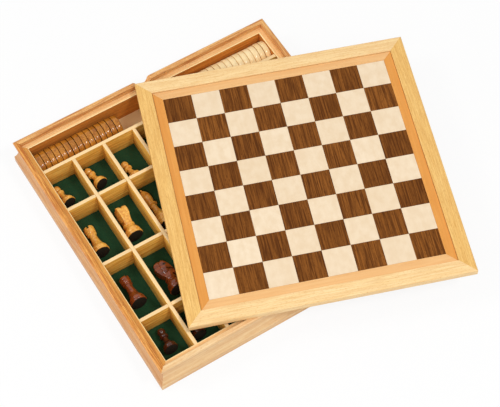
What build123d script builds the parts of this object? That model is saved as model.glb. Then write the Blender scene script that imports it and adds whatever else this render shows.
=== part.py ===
from build123d import *

import os
from math import atan2, cos, degrees, radians, sin

# Games compendium box: a shallow moulded tray with a loose lid that is also the
# chessboard. A cross-lapped grid of thin dividers gives each chessman its own felt-floored
# cell, and a long bay along the back holds the draughtsmen on edge.
#
# Millimetres. +X is right, +Y is back, +Z is up. The origin is the middle of the tray's
# underside. At rest the lid lies turned across the tray, so the front left cells are open.

# ---- Tray sides: one moulding, mitred at the corners ----
TRAY_HEIGHT = 37.5
RIM_WIDTH = 5.6           # rim's top, from the outer face to the lid's seat
LEDGE_WIDTH = 5.9         # step inside the rim that carries the closed lid
SEAT_DEPTH = 6.0          # rim's top down to the ledge
RIM_EASE = 1.0            # rounding of the rim's inner edge
LIP_RADIUS = 1.4          # rounding of the rim's outer edge
LIP_HEIGHT = 3.0          # rim's outer face, down to the shadow line
QUIRK_STEP = 0.9          # how far the shadow line is cut back under the lip
FOOT_FLARE = 1.2          # how far the foot stands out past the rim
FOOT_HEIGHT = 9.5         # flat band at the foot
FOOT_RADIUS = 1.2
COVE_DEPTH = 3.0          # hollow of the cove, measured from its chord

# ---- Finger notches in the middle of the front and back rims ----
NOTCH_WIDTH = 21.0        # at the rim's top
NOTCH_SLOPE = 7.0         # how far each end slopes in on the way down

# ---- Floor ----
PANEL_THICKNESS = 3.0
PANEL_LAP = 5.0           # how far the panel runs in under the sides
PANEL_PLAY = 0.2
FELT_THICKNESS = 1.0
FELT_PLAY = 0.3

# ---- Divider grid ----
DIVIDER_THICKNESS = 3.7
DIVIDER_DROP = 0.8        # tops of the dividers below the ledge
LAP_PLAY = 0.1            # each side of a divider in its slot
COLUMNS = 8
PAWN_ROOM = 20.8          # a pawn's cell is this much longer than a pawn
PIECE_ROOM = 6.3          # the other cells are this much longer than a king
BAY_ROOM = 5.0            # the bay is this much wider than a draughtsman

# ---- Lid ----
LID_PLAY = 1.6            # each side of the lid in its seat
LID_THICKNESS = 7.5
FRAME_WIDTH = 15.3
FRAME_ROUND = 1.0         # outer top edge
BAND_WIDTH = 9.85         # inlay between the frame and the squares
BOARD_SINK = 1.5          # frame's top above the playing surface
VENEER = 0.7
VENEER_JOINT = 0.1
BACKING = 0.6             # veneer under the core
CORE_LAP = 5.0            # how far the core runs in under the frame
BOARD_SQUARES = 8

# ---- Where the lid lies at rest, on the rim ----
LID_SHIFT = (76.5, -39.1)
LID_TURN = -19.46         # degrees about +Z

# ---- Draughtsmen ----
STONE_DIAMETER = 26.0
STONE_THICKNESS = 6.3
STONE_GAP = 0.1
STONES = 15               # of each colour
CLEAR_STONES = 8          # white ones that the turned lid leaves uncovered

# ---- Chessmen: base radius and height of each kind ----
PAWN = (7.4, 26.5)
ROOK = (8.7, 32.5)
KNIGHT = (9.0, 37.5)
BISHOP = (9.5, 45.0)
QUEEN = (10.5, 54.0)
KING = (11.0, 62.0)
FOOT_SHARE = 0.07         # straight edge of a man's base, as a share of its height
SHOULDER = (0.87, 0.19)   # the bell of every base, as shares of its radius and height
KNIGHT_HEAD = 9.0         # thickness of the carved head
PAD_THICKNESS = 0.8
PAD_INSET = 0.7           # pad's edge inside the base's edge
REST_GAP = 0.3            # round things clear of the floor under them

# ---- What follows from the sizes above. The men and the draughtsmen size the tray ----
PAWN_CELL = PAWN[1] + PAWN_ROOM
PIECE_CELL = KING[1] + PIECE_ROOM
BAY_LENGTH = STONE_DIAMETER + BAY_ROOM
INNER = PAWN_CELL + PIECE_CELL + 2 * DIVIDER_THICKNESS + BAY_LENGTH / 2
RIM = INNER + LEDGE_WIDTH + RIM_WIDTH
LEDGE_Z = TRAY_HEIGHT - SEAT_DEPTH
FELT_TOP = PANEL_THICKNESS + FELT_THICKNESS
DIVIDER_TOP = LEDGE_Z - DIVIDER_DROP
COLUMN_WIDTH = (2 * INNER - (COLUMNS - 1) * DIVIDER_THICKNESS) / COLUMNS
LID_SIZE = 2 * (RIM - RIM_WIDTH - LID_PLAY)
SQUARE = (LID_SIZE - 2 * (FRAME_WIDTH + BAND_WIDTH)) / BOARD_SQUARES
CORE_TOP = LID_THICKNESS - BOARD_SINK - VENEER

SIDES = ["front", "right", "back", "left"]      # each a quarter turn on from the one before
ON_FLOOR = (Align.CENTER, Align.CENTER, Align.MIN)


def quarter_turn(side):
    """Takes what is made for the front side to another side."""
    return Rot(0, 0, 90 * SIDES.index(side))


def cell_front(row):
    """The y of a cell row's front wall. Row 4 is at the front and row 1 behind it all."""
    y = -INNER
    for below in range(4, row, -1):
        y += cell_length(below) + DIVIDER_THICKNESS
    return y


def cell_length(row):
    return PAWN_CELL if row in (1, 4) else PIECE_CELL


def cell_middle(column):
    """The x of the middle of a column of cells, counted from 0 at the left."""
    return -INNER + COLUMN_WIDTH / 2 + column * (COLUMN_WIDTH + DIVIDER_THICKNESS)


BAY_FRONT = cell_front(1) + PAWN_CELL + DIVIDER_THICKNESS
BAY_MIDDLE = BAY_FRONT + BAY_LENGTH / 2
ROW_DIVIDERS = [cell_front(row) + cell_length(row) + DIVIDER_THICKNESS / 2 for row in (4, 3, 2)]
COLUMN_DIVIDERS = [cell_middle(c) + (COLUMN_WIDTH + DIVIDER_THICKNESS) / 2 for c in range(COLUMNS - 1)]


def mitred(section, half):
    """A front member from its section, where x is outwards from y = -half and y is up."""
    plane = Plane(origin=(0, -half, 0), x_dir=(0, -1, 0), z_dir=(-1, 0, 0))
    reach = 2 * half
    bar = extrude(plane * section, amount=reach, both=True)
    corner = make_face(Polyline((0, 0), (-reach, -reach), (reach, -reach), close=True))
    return bar & Pos(0, 0, -reach) * extrude(corner, amount=2 * reach)


# ---- Tray ----
def side_section():
    """Rim, ledge, cove and foot. x = 0 is the rim's outer face and z = 0 the underside."""
    wall = -(RIM_WIDTH + LEDGE_WIDTH)
    lip_bottom = TRAY_HEIGHT - LIP_HEIGHT
    diagonal = LIP_RADIUS * (1 - cos(radians(45)))
    ease_diagonal = RIM_EASE * (1 - cos(radians(45)))
    foot_diagonal = FOOT_RADIUS * (1 - cos(radians(45)))
    cove_middle = (
        (FOOT_FLARE - QUIRK_STEP) / 2 - COVE_DEPTH,
        (lip_bottom + FOOT_HEIGHT) / 2,
    )
    outline = Polyline(
        (FOOT_FLARE - FOOT_RADIUS, 0),
        (wall + PANEL_LAP, 0),
        (wall + PANEL_LAP, PANEL_THICKNESS),
        (wall, PANEL_THICKNESS),
        (wall, LEDGE_Z),
        (-RIM_WIDTH, LEDGE_Z),
        (-RIM_WIDTH, TRAY_HEIGHT - RIM_EASE),
    )
    outline += ThreePointArc(
        (-RIM_WIDTH, TRAY_HEIGHT - RIM_EASE),
        (-RIM_WIDTH + ease_diagonal, TRAY_HEIGHT - ease_diagonal),
        (-RIM_WIDTH + RIM_EASE, TRAY_HEIGHT),
    )
    outline += Line((-RIM_WIDTH + RIM_EASE, TRAY_HEIGHT), (-LIP_RADIUS, TRAY_HEIGHT))
    outline += ThreePointArc(
        (-LIP_RADIUS, TRAY_HEIGHT),
        (-diagonal, TRAY_HEIGHT - diagonal),
        (0, TRAY_HEIGHT - LIP_RADIUS),
    )
    outline += Polyline((0, TRAY_HEIGHT - LIP_RADIUS), (0, lip_bottom), (-QUIRK_STEP, lip_bottom))
    outline += ThreePointArc((-QUIRK_STEP, lip_bottom), cove_middle, (FOOT_FLARE, FOOT_HEIGHT))
    outline += Line((FOOT_FLARE, FOOT_HEIGHT), (FOOT_FLARE, FOOT_RADIUS))
    outline += ThreePointArc(
        (FOOT_FLARE, FOOT_RADIUS),
        (FOOT_FLARE - foot_diagonal, foot_diagonal),
        (FOOT_FLARE - FOOT_RADIUS, 0),
    )
    return make_face(outline)


def finger_notch():
    """A sloping-ended gap through the front rim, down to the ledge."""
    half = NOTCH_WIDTH / 2
    gap = Polyline(
        (-half, TRAY_HEIGHT),
        (-half + NOTCH_SLOPE, LEDGE_Z),
        (half - NOTCH_SLOPE, LEDGE_Z),
        (half, TRAY_HEIGHT),
        close=True,
    )
    depth = RIM_WIDTH + FOOT_FLARE
    return Pos(0, -RIM - FOOT_FLARE, 0) * extrude(Plane.XZ * make_face(gap), amount=-depth)


def tray_side(name):
    side = mitred(side_section(), RIM)
    if name in ("front", "back"):
        side -= finger_notch()
    return quarter_turn(name) * side


def tray_bottom():
    size = 2 * (INNER + PANEL_LAP - PANEL_PLAY)
    return Box(size, size, PANEL_THICKNESS, align=ON_FLOOR)


def cell_felt():
    """One sheet under all the cells. The dividers stand on it and the bay stays bare wood."""
    front = -INNER + FELT_PLAY
    back = BAY_FRONT - DIVIDER_THICKNESS - FELT_PLAY
    sheet = Box(2 * (INNER - FELT_PLAY), back - front, FELT_THICKNESS, align=ON_FLOOR)
    return Pos(0, (front + back) / 2, PANEL_THICKNESS) * sheet


def bay_divider():
    board = Box(2 * INNER, DIVIDER_THICKNESS, DIVIDER_TOP - PANEL_THICKNESS, align=ON_FLOOR)
    return Pos(0, BAY_FRONT - DIVIDER_THICKNESS / 2, PANEL_THICKNESS) * board


def lap_slot(length, width):
    """Half the height of a divider, which is what each of two crossing dividers gives up."""
    return Box(width, length, (DIVIDER_TOP - FELT_TOP) / 2, align=ON_FLOOR)


def row_divider(y):
    """Runs left to right, with its slots open at the top."""
    height = DIVIDER_TOP - FELT_TOP
    board = Box(2 * INNER, DIVIDER_THICKNESS, height, align=ON_FLOOR)
    slot = lap_slot(DIVIDER_THICKNESS, DIVIDER_THICKNESS + 2 * LAP_PLAY)
    for x in COLUMN_DIVIDERS:
        board -= Pos(x, 0, height / 2) * slot
    return Pos(0, y, FELT_TOP) * board


def column_divider(x):
    """Runs front to back over the row dividers, with its slots open at the bottom."""
    back = BAY_FRONT - DIVIDER_THICKNESS
    middle = (back - INNER) / 2
    board = Box(DIVIDER_THICKNESS, back + INNER, DIVIDER_TOP - FELT_TOP, align=ON_FLOOR)
    slot = lap_slot(DIVIDER_THICKNESS + 2 * LAP_PLAY, DIVIDER_THICKNESS)
    for y in ROW_DIVIDERS:
        board -= Pos(0, y - middle, 0) * slot
    return Pos(x, middle, FELT_TOP) * board


# ---- Lid, built flat about its own middle with its underside at z = 0 ----
def frame_section():
    """A mitred frame member, rebated underneath for the core. x = 0 is its outer face."""
    diagonal = FRAME_ROUND * (1 - cos(radians(45)))
    outline = Polyline(
        (0, LID_THICKNESS - FRAME_ROUND),
        (0, 0),
        (CORE_LAP - FRAME_WIDTH, 0),
        (CORE_LAP - FRAME_WIDTH, CORE_TOP),
        (-FRAME_WIDTH, CORE_TOP),
        (-FRAME_WIDTH, LID_THICKNESS),
        (-FRAME_ROUND, LID_THICKNESS),
    )
    outline += ThreePointArc(
        (-FRAME_ROUND, LID_THICKNESS),
        (-diagonal, LID_THICKNESS - diagonal),
        (0, LID_THICKNESS - FRAME_ROUND),
    )
    return make_face(outline)


def band_section():
    """The veneer strip between the frame and the squares."""
    strip = Rectangle(BAND_WIDTH, VENEER, align=(Align.MAX, Align.MIN))
    return Pos(-FRAME_WIDTH, CORE_TOP) * strip


def on_lid(flat):
    return Pos(*LID_SHIFT, TRAY_HEIGHT) * Rot(0, 0, LID_TURN) * flat


def lid_frame(name):
    return on_lid(quarter_turn(name) * mitred(frame_section(), LID_SIZE / 2))


def inlay_band(name):
    return on_lid(quarter_turn(name) * mitred(band_section(), LID_SIZE / 2))


def core_sheet(bottom, top):
    size = LID_SIZE - 2 * (FRAME_WIDTH - CORE_LAP)
    return on_lid(Pos(0, 0, bottom) * Box(size, size, top - bottom, align=ON_FLOOR))


def board_squares(dark):
    """The squares of one colour. The front left square is light."""
    tile = Box(SQUARE - VENEER_JOINT, SQUARE - VENEER_JOINT, VENEER, align=ON_FLOOR)
    first = SQUARE * (1 - BOARD_SQUARES) / 2
    squares = []
    for across in range(BOARD_SQUARES):
        for up in range(BOARD_SQUARES):
            if (across + up) % 2 == dark:
                place = Pos(first + across * SQUARE, first + up * SQUARE, CORE_TOP)
                squares.append(on_lid(place * tile))
    return Compound(squares)


# ---- Draughtsmen, on edge in the bay ----
def stones(first, count):
    """A run of draughtsmen, counted from the left wall, or from the right if negative."""
    stone = Rot(0, 90, 0) * Cylinder(STONE_DIAMETER / 2, STONE_THICKNESS)
    z = PANEL_THICKNESS + REST_GAP + STONE_DIAMETER / 2
    pitch = STONE_THICKNESS + STONE_GAP
    run = []
    for number in range(abs(first), abs(first) + count):
        from_wall = STONE_GAP + pitch * (number - 1) + STONE_THICKNESS / 2
        x = -INNER + from_wall if first > 0 else INNER - from_wall
        run.append(Pos(x, BAY_MIDDLE, z) * stone)
    return Compound(run)


# ---- Chessmen, turned about +Z with the base at z = 0 ----
# Each outline is drawn in shares of the man's base radius and height, so a taller or a
# stouter man keeps the character of its turning.
def outline(size, *shares):
    """The straight edge of the base, then the turning above it, as (radius, height) points."""
    base_radius, height = size
    points = [(0, 0), (base_radius, 0), (base_radius, FOOT_SHARE * height)]
    return points + [(across * base_radius, up * height) for across, up in (SHOULDER, *shares)]


def turned(points):
    return revolve(Plane.XZ * make_face(Polyline(*points, close=True)), Axis.Z)


def pawn():
    """A ball head above a sharp collar."""
    across, up, middle = 0.55, 0.155, 0.845
    ball = [(across * cos(radians(a)), middle + up * sin(radians(a))) for a in (-45, 0, 45)]
    points = outline(PAWN, (0.38, 0.43), (0.60, 0.63), *ball, (0, 1))
    return turned(points), points


def rook():
    """A castle top with a hollow and two crossing gaps."""
    top, hollow, floor, gap_width = 0.69, 0.47, 0.91, 0.24
    wall = [(top, 0.78), (top, 1), (hollow, 1), (hollow, floor), (0, floor)]
    points = outline(ROOK, (0.52, 0.38), (0.43, 0.62), *wall)
    tower = turned(points)
    gap = Box(2 * ROOK[0], gap_width * ROOK[0], ROOK[1], align=ON_FLOOR)
    for angle in (0, 90):
        tower -= Pos(0, 0, floor * ROOK[1]) * Rot(0, 0, angle) * gap
    return tower, points


def knight():
    """A horse's head cut from a flat blank, on a turned base. The muzzle points along +X."""
    base_top, seat = 0.40, 0.37
    points = outline(KNIGHT, (0.60, 0.28), (0.66, base_top), (0, base_top))
    mane = [(-0.48, seat), (-0.86, 0.56), (-1.02, 0.76), (-0.96, 0.90), (-0.62, 0.985)]
    ear_and_brow = [(-0.10, 1), (0.40, 0.955), (0.78, 0.83)]
    muzzle_and_jaw = [(1.00, 0.63), (1.01, 0.53), (0.82, 0.45)]
    throat_and_chest = [(0.42, 0.47), (0.46, seat)]
    shares = mane + ear_and_brow + muzzle_and_jaw + throat_and_chest
    head = Polyline(*[(across * KNIGHT[0], up * KNIGHT[1]) for across, up in shares], close=True)
    blank = extrude(Plane.XZ * make_face(head), amount=KNIGHT_HEAD / 2, both=True)
    return turned(points) + blank, points + [(KNIGHT_HEAD / 2, KNIGHT[1])]


def bishop():
    """A pointed mitre with a slanting cut."""
    mitre = [(0.57, 0.633), (0.38, 0.678), (0.55, 0.778), (0.18, 0.933), (0, 1)]
    points = outline(BISHOP, (0.37, 0.333), (0.32, 0.59), *mitre)
    cut_length, cut_width, cut_slope = 0.75, 0.105, 50
    cut = Box(cut_length * BISHOP[0], 2 * BISHOP[0], cut_width * BISHOP[0])
    cut = Pos(0.55 * BISHOP[0], 0, 0.83 * BISHOP[1]) * Rot(0, -cut_slope, 0) * cut
    return turned(points) - cut, points


def queen():
    """A flared crown with a bead on top."""
    crown = [(0.59, 0.676), (0.38, 0.713), (0.61, 0.88), (0.19, 0.926), (0, 1)]
    points = outline(QUEEN, (0.37, 0.333), (0.305, 0.64), *crown)
    return turned(points), points


def king():
    """A flared crown with a plain cross."""
    crown_top, cross_thickness, cross_span = 0.871, 0.22 * KING[0], 0.58 * KING[0]
    crown = [(0.58, 0.66), (0.38, 0.694), (0.60, 0.839), (0, crown_top)]
    points = outline(KING, (0.38, 0.323), (0.31, 0.63), *crown)
    root = crown_top * KING[1] - cross_thickness / 2
    post = Box(cross_thickness, cross_thickness, KING[1] - root, align=ON_FLOOR)
    arm = Box(cross_span, cross_thickness, cross_thickness)
    cross = Pos(0, 0, root) * post + Pos(0, 0, KING[1] - 1.5 * cross_thickness) * arm
    return turned(points) + cross, points


SIZES = {
    "pawn": PAWN,
    "rook": ROOK,
    "knight": KNIGHT,
    "bishop": BISHOP,
    "queen": QUEEN,
    "king": KING,
}
MEN = {maker.__name__: maker() for maker in (pawn, rook, knight, bishop, queen, king)}


def plain(kind):
    """A man that repeats under the lid, in its main forms only: base, body and head."""
    if kind == "knight":
        return MEN[kind]
    points, height = MEN[kind][1], SIZES[kind][1]
    neck = min(across for across, up in points if 0 < up < height and across)
    head, collar = next((across, up) for across, up in points[6:] if across > neck)
    points = points[:3] + [(neck, collar), (head, collar), (head, height), (0, height)]
    return turned(points), points


PLAIN = {kind: plain(kind) for kind in MEN}
BACK_RANK = ["rook", "knight", "bishop", "queen", "king", "bishop", "knight", "rook"]

# How a man lies in its cell: how far its base is right of the middle and how far its head is
# from the back wall, both as shares of the free room there, and how far the head is turned
# to the left, in degrees.
STRAIGHT = (0.0, 0.4, 0.0)
LIES = {
    (1, 0): (-0.82, 0.31, 8.8),
    (1, 1): (-0.38, 0.18, 11.3),
    (1, 2): (-0.47, 0.81, 7.0),
    (2, 0): (-0.97, 0.47, -3.5),
    (2, 1): (-0.65, 0.42, -1.0),
    (2, 2): (-0.85, 0.27, 3.0),
    (3, 0): (-0.46, 0.36, -1.1),
    (3, 1): (0.28, 0.39, 1.4),
    (4, 0): (-0.16, 0.28, -3.5),
}
# The cells that the turned lid leaves open, whose men lift straight out.
OPEN_CELLS = {(1, 0), (1, 1), (1, 2), (2, 0), (2, 1), (3, 0), (4, 0)}


def kind_in(row, column):
    return "pawn" if row in (1, 4) else BACK_RANK[column]


def lay(shape, points, row, column):
    """Puts a man on its side in its cell, head to the back, down on its base and its head."""
    base_radius, height = SIZES[kind_in(row, column)]
    foot_height = FOOT_SHARE * height
    sideways, head_gap, turn = LIES.get((row, column), STRAIGHT)
    free_width = COLUMN_WIDTH / 2 - base_radius
    free_length = cell_length(row) - height
    head = [(across, up) for across, up in points if up > height / 2]
    tilt = min(atan2(base_radius - across, up - foot_height) for across, up in head)
    back = cell_front(row) + cell_length(row)
    x = cell_middle(column) + sideways * free_width
    y = back - head_gap * free_length - height * cos(tilt)
    z = FELT_TOP + REST_GAP + base_radius * cos(tilt) + foot_height * sin(tilt)
    return Pos(x, y, z) * Rot(0, 0, turn) * Rot(-90 - degrees(tilt), 0, 0) * shape


def pad(kind):
    """The felt disc glued under a base."""
    radius = SIZES[kind][0] - PAD_INSET
    return Pos(0, 0, -PAD_THICKNESS) * Cylinder(radius, PAD_THICKNESS, align=ON_FLOOR)


def chessmen():
    """Men in open cells are nodes of their own, with their pads. The rest are in groups."""
    nodes, groups, numbers = {}, {}, {}
    for row in (1, 2, 3, 4):
        colour = "light" if row < 3 else "dark"
        for column in range(COLUMNS):
            kind = kind_in(row, column)
            if (row, column) in OPEN_CELLS:
                man, points = MEN[kind]
                number = numbers.get((colour, kind), 0) + 1
                numbers[colour, kind] = number
                name = f"{colour}_{kind}_{number}"
                nodes[name] = lay(man, points, row, column)
                nodes[f"{name}_pad"] = lay(pad(kind), points, row, column)
            else:
                man, points = PLAIN[kind]
                rank = "pawns" if kind == "pawn" else "pieces"
                group = groups.setdefault(f"{colour}_{rank}_under_lid", [])
                group.append(lay(man, points, row, column))
    for name, men in groups.items():
        nodes[name] = Compound(men)
    return nodes


def build():
    nodes = {f"tray_{name}_side": tray_side(name) for name in SIDES}
    nodes["tray_bottom"] = tray_bottom()
    nodes["cell_felt"] = cell_felt()
    nodes["bay_divider"] = bay_divider()
    for number, y in enumerate(ROW_DIVIDERS, 1):
        nodes[f"row_divider_{number}"] = row_divider(y)
    for number, x in enumerate(COLUMN_DIVIDERS, 1):
        nodes[f"column_divider_{number}"] = column_divider(x)

    for name in SIDES:
        nodes[f"lid_frame_{name}"] = lid_frame(name)
        nodes[f"inlay_band_{name}"] = inlay_band(name)
    nodes["board_core"] = core_sheet(BACKING, CORE_TOP)
    nodes["board_backing"] = core_sheet(0, BACKING)
    nodes["dark_squares"] = board_squares(dark=True)
    nodes["light_squares"] = board_squares(dark=False)

    nodes["brown_draughtsmen"] = stones(1, STONES)
    nodes["white_draughtsmen_clear"] = stones(-1, CLEAR_STONES)
    nodes["white_draughtsmen_under_lid"] = stones(-1 - CLEAR_STONES, STONES - CLEAR_STONES)
    nodes.update(chessmen())
    return nodes


os.makedirs("parts", exist_ok=True)
for node_name, node in build().items():
    export_step(node, f"parts/{node_name}.step")
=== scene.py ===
# %% [markdown]
# # A games compendium box, dressed for a picture
#
# The box is a shallow tray with a loose lid. The lid's top is an inlaid chessboard, and the
# tray holds chessmen in felt-floored cells and draughtsmen in a bay along the back. The frame
# that is loaded first is the measured model, in metres. Every piece made below takes its place
# and most of its sizes from that model, so nothing is fitted by eye afterwards.

from math import atan2, cos, degrees, pi, radians, sin

import bmesh
import bpy
import numpy as np
from mathutils import Matrix, Vector, noise


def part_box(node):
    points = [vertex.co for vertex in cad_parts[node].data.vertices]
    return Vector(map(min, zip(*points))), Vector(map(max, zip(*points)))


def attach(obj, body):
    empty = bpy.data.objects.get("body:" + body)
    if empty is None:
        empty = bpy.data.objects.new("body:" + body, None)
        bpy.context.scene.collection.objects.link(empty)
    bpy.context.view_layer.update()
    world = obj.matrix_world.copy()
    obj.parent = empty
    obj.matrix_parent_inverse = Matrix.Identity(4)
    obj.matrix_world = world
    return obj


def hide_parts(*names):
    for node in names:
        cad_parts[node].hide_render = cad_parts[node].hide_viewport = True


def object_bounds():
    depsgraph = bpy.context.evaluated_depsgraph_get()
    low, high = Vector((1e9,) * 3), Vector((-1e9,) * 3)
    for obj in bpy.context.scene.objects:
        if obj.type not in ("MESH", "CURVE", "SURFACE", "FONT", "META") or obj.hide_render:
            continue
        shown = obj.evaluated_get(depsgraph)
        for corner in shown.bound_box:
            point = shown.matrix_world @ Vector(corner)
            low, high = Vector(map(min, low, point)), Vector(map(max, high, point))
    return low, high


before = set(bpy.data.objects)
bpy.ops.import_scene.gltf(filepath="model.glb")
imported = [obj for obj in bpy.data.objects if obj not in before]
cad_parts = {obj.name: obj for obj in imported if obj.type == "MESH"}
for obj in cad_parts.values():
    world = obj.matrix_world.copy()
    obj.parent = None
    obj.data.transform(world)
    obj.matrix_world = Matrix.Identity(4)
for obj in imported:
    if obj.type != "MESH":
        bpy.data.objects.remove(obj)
cad_low, cad_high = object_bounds()

# %% [markdown]
# Workshop sizes are easier to read in millimetres, and Blender works in metres, so one factor
# turns the first into the second. Colours are easier to read as the 0 to 255 values of a
# screen, and a shader works with linear light, so a small function converts those too.

# %% Units and colours
MM = 0.001


def tint(red, green, blue):
    """A screen colour, 0 to 255, as the linear colour that a shader takes."""
    shares = [value / 255 for value in (red, green, blue)]
    linear = [s / 12.92 if s < 0.04045 else ((s + 0.055) / 1.055) ** 2.4 for s in shares]
    return (*linear, 1.0)


def top_of(node):
    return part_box(node)[1].z


def middle_of(node):
    low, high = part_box(node)
    return (low + high) / 2


def show(thing):
    """Puts an object into the scene."""
    bpy.context.scene.collection.objects.link(thing)


# %% [markdown]
# ## Camera
#
# A catalogue camera stands in front of the tray's near left corner and looks down at it
# steeply. Its place, the way that it faces and a slight roll are the whole of its pose. The
# lens is long, so the tray's sides run nearly parallel.

# %% Camera
camera_place = Vector((-395.9, -686.6, 1367.8)) * MM
camera_azimuth = radians(32.52)    # to the right of straight ahead
camera_elevation = radians(59.96)  # looking down
camera_roll = radians(0.71)
lens_for_width = 3.0876            # focal length over sensor width

flat_ahead = Vector((sin(camera_azimuth), cos(camera_azimuth), 0))
ahead = flat_ahead * cos(camera_elevation) - Vector((0, 0, sin(camera_elevation)))
level_right = ahead.cross(Vector((0, 0, 1))).normalized()
level_up = level_right.cross(ahead)
camera_right = level_right * cos(camera_roll) + level_up * sin(camera_roll)
camera_up = camera_right.cross(ahead)

camera_data = bpy.data.cameras.new("catalogue_camera")
camera_data.lens = camera_data.sensor_width * lens_for_width
camera_data.clip_start = 0.05
camera = bpy.data.objects.new("catalogue_camera", camera_data)
turned = Matrix((camera_right, camera_up, -ahead)).transposed().to_4x4()
camera.matrix_world = Matrix.Translation(camera_place) @ turned
show(camera)
bpy.context.scene.camera = camera
print("lens", round(camera_data.lens, 1), "mm")

# %% [markdown]
# ## Floor, sky and lamps
#
# The box lies on a plain pale floor under soft light. A lamp at the front left makes the
# shadows inside the cells, a small high one draws the bright line along the draughtsmen, two at
# the left light the far walls, and an even sky fills the rest. What the camera and the varnish
# see of the sky is plain white, while what lights the box is set apart from it, so that pale
# wood doesn't burn out.

# %% Wiring helpers for shader nodes
def feed(node, inputs):
    """Fills a node's inputs. Each is a constant, or another node's output to be linked."""
    for name, value in inputs.items():
        if isinstance(value, bpy.types.NodeSocket):
            node.id_data.links.new(value, node.inputs[name])
        else:
            node.inputs[name].default_value = value


def place_node(tree, kind, inputs=None, **settings):
    """Adds a shader node with its settings and its inputs."""
    made = tree.nodes.new(kind)
    for name, value in settings.items():
        setattr(made, name, value)
    feed(made, inputs or {})
    return made


def maths(tree, operation, first, second, kind="ShaderNodeMath", **settings):
    """Adds a math node and gives its output."""
    made = place_node(tree, kind, {0: first, 1: second}, operation=operation, **settings)
    return made.outputs[0]


def vector_maths(tree, operation, first, second):
    return maths(tree, operation, first, second, kind="ShaderNodeVectorMath")


def mix_colours(tree, factor, first, second):
    return place_node(tree, "ShaderNodeMix", {
        "Factor": factor, "A": first, "B": second}, data_type="RGBA").outputs["Result"]


def new_finish(name):
    """A new material, with its tree of nodes and the main shader in it."""
    material = bpy.data.materials.new(name)
    material.use_nodes = True
    return material, material.node_tree, material.node_tree.nodes["Principled BSDF"]


# %% Sky
sky_light = 0.50
sky_seen = 1.0
world = bpy.data.worlds.new("studio_sky")
bpy.context.scene.world = world
world.use_nodes = True
sky = world.node_tree
sky.nodes.clear()
rays = place_node(sky, "ShaderNodeLightPath")
seen = maths(sky, "ADD", rays.outputs["Is Camera Ray"], rays.outputs["Is Glossy Ray"])
seen = maths(sky, "ADD", seen, rays.outputs["Is Transmission Ray"], use_clamp=True)
strength = place_node(sky, "ShaderNodeMapRange", {
    "Value": seen, "To Min": sky_light, "To Max": sky_seen})
backdrop = place_node(sky, "ShaderNodeBackground", {
    "Color": (1, 1, 1, 1), "Strength": strength.outputs["Result"]})
place_node(sky, "ShaderNodeOutputWorld", {"Surface": backdrop.outputs[0]})

# %% Floor
floor_half = 4.0
floor_lift = 0.88                  # how far the camera sees the floor lifted to plain white
floor_mesh = bpy.data.meshes.new("pale_floor")
floor_corners = [(x * floor_half, y * floor_half, 0) for x, y in ((-1, -1), (1, -1), (1, 1), (-1, 1))]
floor_mesh.from_pydata(floor_corners, [], [(0, 1, 2, 3)])
floor = bpy.data.objects.new("pale_floor", floor_mesh)
show(floor)

floor_paint, tree, shader = new_finish("pale_floor")
mottle = place_node(tree, "ShaderNodeTexNoise", {"Scale": 3.0, "Detail": 2.0})
shade = mix_colours(tree, mottle.outputs["Fac"], (0.88, 0.88, 0.88, 1), (0.91, 0.91, 0.91, 1))
feed(shader, {"Roughness": 0.9, "Base Color": shade})
plain_white = place_node(tree, "ShaderNodeEmission", {"Color": (1, 1, 1, 1), "Strength": 1.0})
rays = place_node(tree, "ShaderNodeLightPath")
blend = place_node(tree, "ShaderNodeMixShader", {
    0: maths(tree, "MULTIPLY", rays.outputs["Is Camera Ray"], floor_lift),
    1: shader.outputs[0], 2: plain_white.outputs[0]})
feed(tree.nodes["Material Output"], {"Surface": blend.outputs[0]})
floor_mesh.materials.append(floor_paint)

# %% Lamps
def lamp(name, place, power, size):
    """A square soft lamp that faces the box."""
    data = bpy.data.lights.new(name, "AREA")
    data.energy = power
    data.size = size
    made = bpy.data.objects.new(name, data)
    made.location = place
    aim = (cad_low + cad_high) / 2 - made.location
    made.rotation_euler = aim.to_track_quat("-Z", "Y").to_euler()
    show(made)


lamp("front_softbox", Vector((-0.80, -1.25, 1.95)), power=9, size=0.6)
lamp("high_softbox", Vector((0.49, -0.94, 1.85)), power=13, size=0.35)
lamp("left_softbox", Vector((-1.25, 0.75, 1.6)), power=9, size=0.6)
lamp("left_fill", Vector((-1.7, 0.5, 0.55)), power=7, size=1.0)
print("lamps:", len(bpy.data.lights), "with the sky at", sky_light)

# %% [markdown]
# ## Timber
#
# Nearly everything here is wood, so one shader group draws wood, and each finish sets its
# colours and scales. Wood shows three things at three sizes: broad growth bands, fine fibres
# that run with the grain, and short dark pores. All three are noise that is stretched along
# the piece's own X, so every piece below is made with its grain along its own X. The group
# gives a colour and a height, and the shader itself stays in each material.

# %% Timber group
KINDS = {4: "NodeSocketColor", 3: "NodeSocketVector", 1: "NodeSocketFloat"}


def shader_group(name, first_output, **inputs):
    """An empty shader group that puts out one named value and a height for the bump."""
    group = bpy.data.node_groups.new(name, "ShaderNodeTree")
    for label, default in inputs.items():
        kind = KINDS[len(default) if isinstance(default, tuple) else 1]
        label = label.replace("_", " ").title()
        socket = group.interface.new_socket(label, in_out="INPUT", socket_type=kind)
        socket.default_value = default
    for label in (first_output, "Height"):
        kind = KINDS[4 if label == "Color" else 1]
        group.interface.new_socket(label, in_out="OUTPUT", socket_type=kind)
    return group, group.nodes.new("NodeGroupInput").outputs, group.nodes.new("NodeGroupOutput")


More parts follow.
